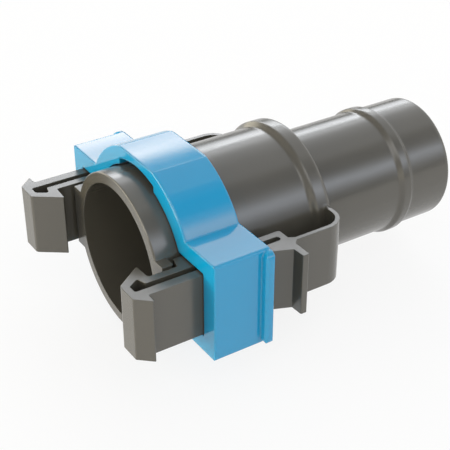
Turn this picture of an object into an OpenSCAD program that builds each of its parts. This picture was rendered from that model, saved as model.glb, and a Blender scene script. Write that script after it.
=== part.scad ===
// Snap-lock tube connector: a socket tube with two hooked snap arms, moulded in one with a hose
// tail, and a sliding collar that holds the hooks shut.
//
// The origin is the centre of the socket's mouth. +Y runs along the tube from the mouth to the
// tail, the arms lie to the +X and -X sides, and +Z is up. Each half mirrors the other in X and Z.

/* [Socket tube] */
// Outside diameter of the socket tube
tube_d = 50; // [40:1:80]
// Wall of the socket tube
tube_wall = 3.3; // [2:0.1:5]
// Length of the socket tube from its mouth to the foot of the stop ridge
tube_len = 53.3; // [48:0.1:80]
// Height of a stop pad above the tube's side
pad_rise = 2; // [1:0.1:2.6]
// Length of a stop pad along the tube
pad_len = 3.6; // [2:0.1:5]

/* [Stop ridge] */
// Height of the ridge above the tube
ridge_rise = 1.5; // [0.8:0.1:3]
// Length of the ridge, with its ramp
ridge_len = 6.7; // [6:0.1:12]

/* [Hose tail] */
// Outside diameter of the hose tail
tail_d = 40.8; // [30:0.2:45]
// Length of the hose tail behind the ridge
tail_len = 52.8; // [40:0.1:90]
// Wall of the hose tail
tail_wall = 3.3; // [2:0.1:5]
// Height of the bead that holds the hose
bead_rise = 1; // [0.5:0.1:2]
// Length of the bead's crest, with its two ramps
bead_len = 5.5; // [4:0.1:9]
// Distance from the bead to the tail's open end
bead_back = 16.1; // [10:0.1:30]

/* [Snap arms] */
// Height of the arms, the pads and the tethers
arm_h = 20; // [14:0.5:28]
// Gap between the tube's side and the arm
arm_gap = 3.3; // [2.8:0.1:5]
// Thickness of the arm's inner beam
inner_beam = 2.4; // [1.5:0.1:4]
// Width of the slot between the two beams
slot_w = 2; // [1.5:0.1:3]
// Thickness of the arm's outer beam
outer_beam = 3.1; // [2.6:0.1:5]
// How far the arms reach in front of the mouth
arm_reach = 13.8; // [12:0.1:20]
// Where the rear face of the arms lies behind the mouth
arm_rear = 38.1; // [37:0.1:44]
// Height of the flare near the arm's rear end
flare_rise = 3; // [2:0.1:4]
// Length of the flare along the arm
flare_len = 7.5; // [5:0.1:10]
// Height of the end fin above the flare
fin_rise = 4.2; // [2:0.1:6]
// Thickness of the end fin
fin_t = 2.1; // [1.5:0.1:3]

/* [Hooks] */
// How far the inner hook reaches in from the arm
hook_in = 6; // [3:0.1:7]
// Depth of the inner hook's nose, from its back face to the arm's front face
hook_nose = 8.3; // [7.5:0.1:12]
// How far the outer hook reaches out from the arm
hook_out = 3.5; // [2.2:0.1:5]
// Depth of the outer hook's nose, from its tip to the arm's front face
hook_out_nose = 4.4; // [3:0.1:6]

/* [Tethers] */
// Thickness of the tether strap that joins each arm to the ridge
strap_t = 1.4; // [1:0.1:2.2]
// Outside radius of the tether's bend
strap_bend = 6.9; // [3.5:0.1:7.5]

/* [Locking collar] */
// Length of the collar along the tube
collar_len = 17.95; // [12:0.05:20]
// Distance from the mouth to the collar's front face
collar_front = 7.5; // [5:0.1:9]
// Wall of the collar's ring
ring_wall = 5.55; // [4:0.05:8]
// How much the ring is cut flat at its top and bottom
crown_flat = 1.55; // [0.5:0.05:2.5]
// Wall of the collar outside the arms
side_wall = 5.7; // [4:0.1:8]
// Wall of the collar above and below the arms
pocket_wall = 5.2; // [3.5:0.1:6]
// Width of the shallow recess in the ring's crown
recess_w = 20; // [10:0.5:22]
// Depth of the shallow recess in the ring's crown
recess_depth = 1.65; // [1:0.05:2.2]
// Height of the finger rib on the collar's side
rib_rise = 2.55; // [1.6:0.05:3.5]
// Length of the finger rib along the tube
rib_len = 2.65; // [2.4:0.05:5]

/* [Fits] */
// Radial clearance of the collar's ring on the tube
ring_gap = 0.45; // [0.3:0.05:0.8]
// Clearance between the collar and the outer face of an arm
side_gap = 0.3; // [0.3:0.05:0.8]
// Clearance above and below the arms in the collar
top_gap = 0.55; // [0.3:0.05:1]
// Radial clearance between the tube and the arm's step
step_gap = 1.4; // [1:0.1:1.8]
// Clearance between a stop pad and the arm's step behind it
pad_gap = 0.3; // [0.2:0.05:0.6]

/* [Hidden] */
$fn = 128;

// Room that a cutting body runs past the face it cuts
over = 1;
// How far a round corner's piece runs past the outline, and how far its arc bites past the edges
corner_margin = 0.2;
arc_overlap = 0.002;

// Tube, ridge and tail
tube_r = tube_d / 2;
bore_r = tube_r - tube_wall;
ridge_r = tube_r + ridge_rise;
ridge_back = tube_len + ridge_len;
tail_r = tail_d / 2;
tail_bore_r = tail_r - tail_wall;
tail_end = ridge_back + tail_len;
shoulder_back = ridge_back - 2;
shoulder_front = tube_len - 1.3;
bead_end = tail_end - bead_back;
bead_ramp = 1.5;

// Plan of a snap arm, in X from the tube's axis and Y from the mouth
beam_in = tube_r + arm_gap;
slot_in = beam_in + inner_beam;
slot_out = slot_in + slot_w;
beam_out = slot_out + outer_beam;
hook_tip = beam_in - hook_in;
hook_back = hook_nose - arm_reach;
hook_out_tip = beam_out + hook_out;
hook_out_y = hook_out_nose - arm_reach;
nose_front = -arm_reach;
flare_x = beam_out + flare_rise;
fin_front = arm_rear - fin_t;
flare_front = fin_front - flare_len;
fin_x = flare_x + fin_rise;

// The step under each arm, which bears on the stop pad
step_r = tube_r + step_gap;
step_front = pad_len + pad_gap;
step_back = step_front + 10;
step_slope = 1.1;
step_root = tube_r - 1;

// The slot's eye in the head of the arm
eye_in = beam_in - 0.7;
eye_front = nose_front + 2.2;
eye_back = hook_back - 2.7;
slot_rear = arm_rear - 2.2;

// Tether
strap_out = slot_out + (outer_beam + strap_t) / 2 + 0.15;
strap_in = strap_out - strap_t;
strap_back = ridge_back - 1.5;
strap_front = strap_back - strap_t;
strap_root = tube_r - 2;

// Collar
ring_bore_r = tube_r + ring_gap;
ring_r = ring_bore_r + ring_wall;
crown_z = ring_r - crown_flat;
pocket_x = beam_out + side_gap;
pocket_z = arm_h / 2 + top_gap;
box_x = pocket_x + side_wall;
box_z = pocket_z + pocket_wall;
collar_back = collar_front + collar_len;
collar_mid = (collar_front + collar_back) / 2;
rib_x = box_x + rib_rise;
rib_front = collar_back - rib_len;
rib_z = box_z - 0.3;
rib_end_round = 2.1;

function unit(v) = v / norm(v);
function turn(a, b) = a.x * b.y - a.y * b.x;

// A closed outline with true round corners, from points [x, y, radius] listed counter-clockwise
module rounded_outline(corners) {
    n = len(corners);
    at = [for (c = corners) [c.x, c.y]];
    back = [for (i = [0:n - 1]) unit(at[(i + n - 1) % n] - at[i])];
    ahead = [for (i = [0:n - 1]) unit(at[(i + 1) % n] - at[i])];
    half = [for (i = [0:n - 1]) acos(back[i] * ahead[i]) / 2];
    centre = [for (i = [0:n - 1]) at[i] + unit(back[i] + ahead[i]) * corners[i].z / sin(half[i])];
    outward = [for (i = [0:n - 1]) corners[i].z > 0 && turn(back[i], ahead[i]) < 0];
    inward = [for (i = [0:n - 1]) corners[i].z > 0 && turn(back[i], ahead[i]) > 0];
    // What lies between the corner's arc and its point, a little wider than the outline
    module corner_piece(i) {
        cut = corners[i].z / tan(half[i]);
        rim = [at[i] + back[i] * cut, at[i], at[i] + ahead[i] * cut];
        difference() {
            polygon([centre[i], for (p = rim) p + unit(p - centre[i]) * corner_margin]);
            translate(centre[i]) circle(corners[i].z + arc_overlap);
        }
    }
    difference() {
        union() {
            polygon(at);
            for (i = [0:n - 1]) if (inward[i]) corner_piece(i);
        }
        for (i = [0:n - 1]) if (outward[i]) corner_piece(i);
    }
}

// A profile of [radius, distance from the mouth] turned about the tube's axis
module turned() {
    rotate([-90, 0, 0]) rotate_extrude() children();
}

// A cylinder along the tube's axis
module rod(r, front, back) {
    translate([0, front, 0]) rotate([-90, 0, 0]) cylinder(r = r, h = back - front);
}

// A plan drawn in X and Y, standing on both sides of the middle plane
module slab(height) {
    translate([0, 0, -height / 2]) linear_extrude(height) children();
}

// A section drawn in X and Z, running along the tube
module bar(front, back) {
    translate([0, back, 0]) rotate([90, 0, 0]) linear_extrude(back - front) children();
}

module both_sides() {
    children();
    mirror([1, 0, 0]) children();
}

// Socket, ridge, tail and bead, with the through bore and its shoulder
module tube() {
    turned() rounded_outline([
        [bore_r, 0, 0],
        [tube_r, 0, 0.4],
        [tube_r, tube_len, 0.4],
        [ridge_r, tube_len + ridge_rise, 0.6],
        [ridge_r, ridge_back, 1.4],
        [tail_r, ridge_back, 1.5],
        [tail_r, bead_end - bead_len, 0.9],
        [tail_r + bead_rise, bead_end - bead_len + bead_ramp, 0.9],
        [tail_r + bead_rise, bead_end - bead_rise, 0.8],
        [tail_r, bead_end, 0.6],
        [tail_r, tail_end, 1],
        [tail_bore_r, tail_end, 0.4],
        [tail_bore_r, shoulder_back, 1],
        [bore_r, shoulder_front, 1]
    ]);
}

// Stop pad on the side of the tube, flush with the mouth
module pad_plan() {
    rounded_outline([
        [bore_r + 0.5, 0, 0],
        [tube_r + pad_rise, 0, 0.2],
        [tube_r + pad_rise, pad_len, 0.7],
        [bore_r + 0.5, pad_len, 0]
    ]);
}

// Outline of an arm with its hooks, step, flare, fin and tether
module arm_plan() {
    rounded_outline([
        [hook_tip, hook_back, 0.3],
        [beam_in, nose_front, 1.5],
        [beam_out - 0.4, nose_front, 0.7],
        [hook_out_tip, hook_out_y, 0.3],
        [beam_out, hook_out_y + 0.2, 0.4],
        [beam_out, flare_front, 2],
        [flare_x, fin_front - 0.2, 0.3],
        [fin_x, fin_front, 0.4],
        [fin_x, arm_rear, 0.4],
        [strap_out + 1.5, arm_rear, 0.4],
        [strap_out, arm_rear + 1.3, 0.6],
        [strap_out, strap_back, strap_bend],
        [strap_root, strap_back, 0],
        [strap_root, strap_front, 0],
        [strap_in, strap_front, strap_bend - strap_t],
        [strap_in, arm_rear + 1.8, 0.6],
        [strap_in - 1, arm_rear, 0.4],
        [beam_in, arm_rear, 0.8],
        [beam_in, step_back + beam_in - step_root, 0.8],
        [step_root, step_back, 0],
        [step_root, step_front + step_slope, 0],
        [beam_in, step_front, 0.6],
        [beam_in, hook_back + 0.3, 0.8]
    ]);
}

// The long slot that splits the arm into two beams, with its eye in the head
module slot_plan() {
    rounded_outline([
        [eye_in + 2.2, eye_front, 0.7],
        [slot_out, eye_front, 0.7],
        [slot_out, slot_rear, 0.45 * slot_w],
        [slot_in, slot_rear, 0.45 * slot_w],
        [slot_in, eye_back + 0.75, 0.6],
        [eye_in, eye_back, 0.6]
    ]);
}

module snap_arm() {
    difference() {
        slab(arm_h) difference() {
            arm_plan();
            slot_plan();
        }
        rod(step_r, step_front - over, step_back + beam_in - step_root);
    }
}

module connector_body() {
    color([0.42, 0.41, 0.39]) union() {
        tube();
        both_sides() {
            slab(arm_h) pad_plan();
            snap_arm();
        }
    }
}

// The collar's outside: a ring with flats, and a box across it that carries the finger ribs
module collar_ring() {
    intersection() {
        turned() rounded_outline([
            [ring_bore_r - over, collar_front, 0],
            [ring_r, collar_front, 0.4],
            [ring_r, collar_back, 0.4],
            [ring_bore_r - over, collar_back, 0]
        ]);
        translate([0, collar_mid, 0])
            cube([2 * ring_r + over, collar_len + over, 2 * crown_z], center = true);
    }
}

module collar_box() {
    intersection() {
        slab(2 * box_z) rounded_outline([
            [-box_x, collar_front, 0.4],
            [box_x, collar_front, 0.4],
            [box_x, collar_back, 0.4],
            [-box_x, collar_back, 0.4]
        ]);
        bar(collar_front, collar_back) rounded_outline([
            [-box_x, -box_z, 0.8],
            [box_x, -box_z, 0.8],
            [box_x, box_z, 0.8],
            [-box_x, box_z, 0.8]
        ]);
    }
}

// The finger rib, with its front and outer edges and both its ends rounded
module finger_rib() {
    intersection() {
        slab(2 * rib_z) rounded_outline([
            [box_x - over, rib_front, 0],
            [rib_x, rib_front, 1.1],
            [rib_x, collar_back, 0.4],
            [box_x - over, collar_back, 0]
        ]);
        bar(rib_front, collar_back) rounded_outline([
            [box_x - over, -rib_z, 0],
            [rib_x, -rib_z, rib_end_round],
            [rib_x, rib_z, rib_end_round],
            [box_x - over, rib_z, 0]
        ]);
        translate([box_x - over, 0, 0]) rotate([90, 0, 90]) linear_extrude(rib_rise + over)
            rounded_outline([
                [rib_front, -rib_z, rib_end_round],
                [collar_back, -rib_z, 0],
                [collar_back, rib_z, 0],
                [rib_front, rib_z, rib_end_round]
            ]);
    }
}

module crown_recess() {
    bar(collar_front - over, collar_back + over) intersection() {
        circle(ring_bore_r + recess_depth);
        square([recess_w, 2 * ring_r], center = true);
    }
}

module arm_pocket() {
    bar(collar_front - over, collar_back + over) rounded_outline([
        [-pocket_x, -pocket_z, 0.5],
        [pocket_x, -pocket_z, 0.5],
        [pocket_x, pocket_z, 0.5],
        [-pocket_x, pocket_z, 0.5]
    ]);
}

module locking_collar() {
    color([0.16, 0.58, 0.78]) difference() {
        union() {
            collar_ring();
            collar_box();
            both_sides() finger_rib();
        }
        rod(ring_bore_r, collar_front - over, collar_back + over);
        crown_recess();
        arm_pocket();
    }
}

connector_body();
locking_collar();
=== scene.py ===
import math

import bpy
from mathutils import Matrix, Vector


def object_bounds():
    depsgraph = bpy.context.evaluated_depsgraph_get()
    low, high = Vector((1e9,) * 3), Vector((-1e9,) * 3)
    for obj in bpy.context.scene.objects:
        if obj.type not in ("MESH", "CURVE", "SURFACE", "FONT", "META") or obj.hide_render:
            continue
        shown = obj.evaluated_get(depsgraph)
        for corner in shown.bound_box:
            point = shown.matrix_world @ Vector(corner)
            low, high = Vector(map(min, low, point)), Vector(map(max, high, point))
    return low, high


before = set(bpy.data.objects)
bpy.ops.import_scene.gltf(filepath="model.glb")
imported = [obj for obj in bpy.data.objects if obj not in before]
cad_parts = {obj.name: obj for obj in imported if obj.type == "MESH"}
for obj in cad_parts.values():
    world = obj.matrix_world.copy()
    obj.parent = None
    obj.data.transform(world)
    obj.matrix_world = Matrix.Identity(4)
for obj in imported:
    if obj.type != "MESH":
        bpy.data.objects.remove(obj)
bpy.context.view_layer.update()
mm = 0.001


# Camera ---------------------------------------------------------------------------------------
# It looks at the connector from the front right and above, as the photograph does.
AZIMUTH = math.radians(57.0)
ELEVATION = math.radians(31.74)
LENS_MM = 86.86
SENSOR_MM = 36.0
CLIP_START = 10 * mm
# Where the mouth's centre lies from the camera: to its right, up, and back
MOUTH_SEEN = Vector((-31.8, -8.45, -320.5)) * mm


def add_camera():
    right = Vector((math.cos(AZIMUTH), math.sin(AZIMUTH), 0))
    back = Vector((
        math.sin(AZIMUTH) * math.cos(ELEVATION),
        -math.cos(AZIMUTH) * math.cos(ELEVATION),
        math.sin(ELEVATION),
    ))
    up = back.cross(right)
    camera = bpy.data.objects.new("camera", bpy.data.cameras.new("camera"))
    bpy.context.scene.collection.objects.link(camera)
    camera.data.lens = LENS_MM
    camera.data.sensor_width = SENSOR_MM
    camera.data.clip_start = CLIP_START
    turn = camera.matrix_world.to_3x3()
    turn.col[0], turn.col[1], turn.col[2] = right, up, back
    camera.matrix_world = turn.to_4x4()
    camera.location = -(right * MOUTH_SEEN.x + up * MOUTH_SEEN.y + back * MOUTH_SEEN.z)
    bpy.context.scene.camera = camera


# Shader helpers -------------------------------------------------------------------------------
class Nodes:
    """Short ways to add shader nodes to one tree."""

    def __init__(self, tree):
        self.tree = tree
        tree.nodes.clear()

    def add(self, kind, **settings):
        node = self.tree.nodes.new("ShaderNode" + kind)
        for name, value in settings.items():
            setattr(node, name, value)
        return node

    def link(self, source, target):
        self.tree.links.new(source, target)

    def feed(self, socket, value):
        if isinstance(value, bpy.types.NodeSocket):
            self.link(value, socket)
        else:
            socket.default_value = value

    def axes(self, space):
        """The three parts of a texture coordinate."""
        parts = self.add("SeparateXYZ")
        self.link(self.add("TexCoord").outputs[space], parts.inputs[0])
        return parts.outputs

    def math(self, operation, a, b=0.0, clamp=False):
        node = self.add("Math", operation=operation, use_clamp=clamp)
        self.feed(node.inputs[0], a)
        self.feed(node.inputs[1], b)
        return node.outputs[0]

    def ramp(self, value, low, high, to_low=0.0, to_high=1.0):
        """A smooth step from to_low at low to to_high at high."""
        node = self.add("MapRange", interpolation_type="SMOOTHSTEP")
        for socket, v in zip(node.inputs, (value, low, high, to_low, to_high)):
            self.feed(socket, v)
        return node.outputs[0]

    def blend(self, amount, a, b):
        mix = self.add("Mix", data_type="RGBA")
        for name, value in (("Factor", amount), ("A", a), ("B", b)):
            self.feed(mix.inputs[name], value)
        return mix.outputs["Result"]

    def noise(self, scale, detail=2.0, roughness=0.5, stretch=(1, 1, 1)):
        place = self.add("Mapping")
        place.inputs["Scale"].default_value = stretch
        self.link(self.add("TexCoord").outputs["Object"], place.inputs["Vector"])
        node = self.add("TexNoise")
        self.link(place.outputs[0], node.inputs["Vector"])
        node.inputs["Scale"].default_value = scale
        node.inputs["Detail"].default_value = detail
        node.inputs["Roughness"].default_value = roughness
        return node.outputs["Fac"]


# Plastics -------------------------------------------------------------------------------------
IOR = 1.7
# Noise scales in cells per metre. The flow marks in the gloss are drawn out along the tube.
DRIFT_SCALE = 60
DRIFT_DETAIL = 3
FLOW_SCALE = 180
FLOW_DETAIL = 3
FLOW_ROUGHNESS = 0.6
FLOW_STRETCH = (1, 0.35, 1)
FLOW_RANGE = (0.3, 0.7)     # noise values that stand for the lowest and highest roughness
GRAIN_SCALE = 1400
GRAIN_DEPTH = 0.05 * mm
# The turned steps of the ridge and the tail: behind this y, and no further than this from the axis
TURNED_FROM = (52 * mm, 53 * mm)
TURNED_WITHIN = (28 * mm, 28.4 * mm)


def plastic(name, dark, light, roughness, grain, edge, bend, shine=(1, 1, 1)):
    """Moulded plastic: faint colour drift, fine grain in gloss and relief, and soft edges."""
    material = bpy.data.materials.new(name)
    material.use_nodes = True
    n = Nodes(material.node_tree)
    shader = n.add("BsdfPrincipled")
    n.link(shader.outputs[0], n.add("OutputMaterial").inputs["Surface"])
    shader.inputs["IOR"].default_value = IOR
    shader.inputs["Specular Tint"].default_value = (*shine, 1)

    drift = n.blend(n.noise(DRIFT_SCALE, DRIFT_DETAIL), (*dark, 1), (*light, 1))
    n.link(drift, shader.inputs["Base Color"])

    flow = n.noise(FLOW_SCALE, FLOW_DETAIL, FLOW_ROUGHNESS, FLOW_STRETCH)
    n.link(n.ramp(flow, *FLOW_RANGE, *roughness), shader.inputs["Roughness"])

    bump = n.add("Bump")
    bump.inputs["Strength"].default_value = grain
    bump.inputs["Distance"].default_value = GRAIN_DEPTH
    n.link(n.noise(GRAIN_SCALE), bump.inputs["Height"])
    # The turned steps run out in wide bends; other edges are crisp
    x, y, z = n.axes("Object")
    off_axis = n.math("SQRT", n.math("ADD", n.math("MULTIPLY", x, x), n.math("MULTIPLY", z, z)))
    within = n.ramp(off_axis, *TURNED_WITHIN, 1.0, 0.0)
    turned = n.math("MULTIPLY", n.ramp(y, *TURNED_FROM), within)
    bevel = n.add("Bevel", samples=8)
    n.link(n.math("ADD", n.math("MULTIPLY", turned, bend - edge), edge), bevel.inputs["Radius"])
    n.link(bevel.outputs[0], bump.inputs["Normal"])
    n.link(bump.outputs[0], shader.inputs["Normal"])
    return material


def dress(node, material):
    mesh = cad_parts[node].data
    mesh.materials.clear()
    mesh.materials.append(material)


# Floor ----------------------------------------------------------------------------------------
FLOOR_SIZE = 8
FLOOR_PAINT = (0.85, 0.85, 0.84)
FLOOR_SEEN = 0.84       # share of the floor that reads plain white; the rest holds the shadow


def add_floor():
    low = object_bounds()[0][2]
    bpy.ops.mesh.primitive_plane_add(size=FLOOR_SIZE, location=(0, 0, low))
    floor = bpy.context.object
    floor.name = "floor"
    material = bpy.data.materials.new("floor")
    material.use_nodes = True
    n = Nodes(material.node_tree)
    paint = n.add("BsdfDiffuse")
    paint.inputs["Color"].default_value = (*FLOOR_PAINT, 1)
    white = n.add("Emission")
    path = n.add("LightPath")
    seen = n.math("ADD", path.outputs["Is Camera Ray"], path.outputs["Is Glossy Ray"])
    seen = n.math("ADD", seen, path.outputs["Is Transmission Ray"], clamp=True)
    mix = n.add("MixShader")
    n.link(n.math("MULTIPLY", seen, FLOOR_SEEN), mix.inputs[0])
    n.link(paint.outputs[0], mix.inputs[1])
    n.link(white.outputs[0], mix.inputs[2])
    n.link(mix.outputs[0], n.add("OutputMaterial").inputs["Surface"])
    floor.data.materials.append(material)


# Studio ---------------------------------------------------------------------------------------
BRIGHTEST = 7.4         # luminance that a ramp colour of 1 stands for

# What the room behind the object shows, by the angle round the object's long axis: degrees from
# the right-hand horizon over the top to the left-hand one, luminance and tint. A ramp takes 32
# stops at most.
COOL = (0.92, 1.0, 1.14)
NEUTRAL = (0.97, 1.0, 1.04)
ROOM = (
    (0, 0.25, COOL), (14, 0.75, COOL), (20, 1.5, COOL), (26, 2.3, COOL), (31, 2.8, COOL),
    (35, 2.6, COOL), (39, 1.8, COOL), (43, 1.1, COOL), (52, 0.45, COOL), (64, 0.4, COOL),
    (77, 0.65, NEUTRAL), (80, 1.0, NEUTRAL), (104, 1.0, NEUTRAL), (130, 1.4, NEUTRAL),
    (136, 2.4, NEUTRAL), (141, 3.4, NEUTRAL), (141.4, 2.2, NEUTRAL), (144, 2.2, NEUTRAL),
    (144.4, 3.4, NEUTRAL), (145.6, 3.4, NEUTRAL), (145.9, 0.7, NEUTRAL), (148.37, 0.8, NEUTRAL),
    (148.7, 6.6, NEUTRAL), (149.3, 6.6, NEUTRAL), (149.55, 3.6, NEUTRAL), (149.75, 3.6, NEUTRAL),
    (150.05, 6.9, NEUTRAL), (153, 5.8, NEUTRAL), (158, 4.3, NEUTRAL), (164, 3.2, NEUTRAL),
    (172, 0.3, NEUTRAL), (180, 0.2, NEUTRAL),
)
POLE = 1.1              # luminance straight along the axis, where all the angles meet
POLE_Y = (0.6, 0.8)     # where the room gives way to it

FRONT_Y = (0.12, 0.3)   # where the front half gives way to the room
FRONT_SKY = 0.5         # luminance of the front half

# A wide soft box high on the right adds to it
KEY = 1.4
KEY_X = (0.15, 0.5)
KEY_Z = (0.45, 0.7)

# A low, wide, warm lamp straight in front adds to it, less on the left and least on the right
LAMP = 8.0
LAMP_TINT = (1.08, 1.0, 0.80)
LAMP_LEFT_X = (-0.95, -0.45)
LAMP_LEFT_SHARE = 0.25
LAMP_RIGHT_X = (0.05, 0.36)
LAMP_RIGHT_SHARE = 0.1
LAMP_Z = (0.22, 0.42)


def light_room():
    """A pale room as one world. Behind the object are a bright window low on the left, a strip
    above it and a soft light low on the right, and in front of it the lamp and the soft box."""
    world = bpy.data.worlds.new("studio")
    world.use_nodes = True
    bpy.context.scene.world = world
    n = Nodes(world.node_tree)
    x, y, z = n.axes("Generated")

    angle = n.math("DIVIDE", n.math("ARCTAN2", n.math("MAXIMUM", z, 0.0), x), math.pi)
    room = n.add("ValToRGB")
    n.link(angle, room.inputs[0])
    stops = room.color_ramp.elements
    while len(stops) < len(ROOM):
        stops.new(1.0)
    for stop, (degrees, luminance, tint) in zip(stops, ROOM):
        stop.position = degrees / 180
        stop.color = (*(luminance / BRIGHTEST * t for t in tint), 1)
    pole = (POLE / BRIGHTEST,) * 3 + (1,)
    back = n.blend(n.ramp(y, *POLE_Y), room.outputs[0], pole)

    left = n.ramp(x, *LAMP_LEFT_X, LAMP_LEFT_SHARE, 1.0)
    right = n.ramp(x, *LAMP_RIGHT_X, 1.0, LAMP_RIGHT_SHARE)
    lamp = n.math("MULTIPLY", n.math("MULTIPLY", left, right), n.ramp(z, *LAMP_Z, LAMP, 0.0))
    key = n.math("MULTIPLY", n.ramp(x, *KEY_X), n.ramp(z, *KEY_Z, 0.0, KEY))
    plain = n.math("DIVIDE", n.math("ADD", key, FRONT_SKY), BRIGHTEST)
    front = n.add("VectorMath", operation="MULTIPLY_ADD")
    n.link(lamp, front.inputs[0])
    front.inputs[1].default_value = [t / BRIGHTEST for t in LAMP_TINT]
    n.link(plain, front.inputs[2])

    shade = n.add("Background")
    n.link(n.blend(n.ramp(y, *FRONT_Y), front.outputs[0], back), shade.inputs["Color"])
    shade.inputs["Strength"].default_value = BRIGHTEST
    n.link(shade.outputs[0], n.add("OutputWorld").inputs["Surface"])


add_camera()
dress("connector_body", plastic(
    "grey_plastic",
    dark=(0.0695, 0.064, 0.0515),
    light=(0.0785, 0.072, 0.0575),
    roughness=(0.18, 0.24),
    grain=0.12,
    edge=0.25 * mm,
    bend=1.2 * mm,
))
dress("locking_collar", plastic(
    "blue_plastic",
    dark=(0.001, 0.28, 0.53),
    light=(0.002, 0.295, 0.555),
    roughness=(0.03, 0.05),
    grain=0.03,
    edge=0.8 * mm,
    bend=0.8 * mm,
    shine=(1.0, 0.5, 0.12),     # warm, so that the glare on the blue comes out nearly white
))
add_floor()
light_room()
bpy.context.scene.view_settings.view_transform = "Standard"
